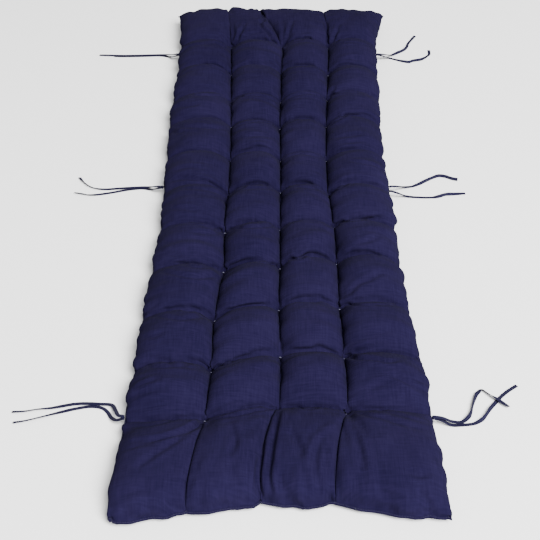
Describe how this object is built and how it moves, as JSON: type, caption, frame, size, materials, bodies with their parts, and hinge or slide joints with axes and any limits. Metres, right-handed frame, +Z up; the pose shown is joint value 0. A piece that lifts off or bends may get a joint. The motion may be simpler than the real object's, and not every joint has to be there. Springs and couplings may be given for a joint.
{
  "type": "tufted sun lounger cushion",
  "caption": "Long flat filled cushion for a sun lounger, tufted in rows, sewn round the edge, with pairs of flat cloth ties along both sides.",
  "frame": {"origin": "middle of the cushion's footprint, on the surface that it lies on", "axes": "+Y along the length towards the head end, +X across the width, +Z up through the thickness, out of the upper side"},
  "size_m": [0.9932, 1.9, 0.08],
  "materials": {
    "navy_cover_cloth": "matt woven",
    "navy_tie_tape": "matt woven"
  },
  "bodies": {
    "root": {"cushion": "navy_cover_cloth", "tie_head_left_upper": "navy_tie_tape", "tie_head_left_lower": "navy_tie_tape", "tie_head_right_upper": "navy_tie_tape", "tie_head_right_lower": "navy_tie_tape", "tie_middle_left_upper": "navy_tie_tape", "tie_middle_left_lower": "navy_tie_tape", "tie_middle_right_upper": "navy_tie_tape", "tie_middle_right_lower": "navy_tie_tape", "tie_foot_left_upper": "navy_tie_tape", "tie_foot_left_lower": "navy_tie_tape", "tie_foot_right_upper": "navy_tie_tape", "tie_foot_right_lower": "navy_tie_tape"}
  },
  "joints": []
}
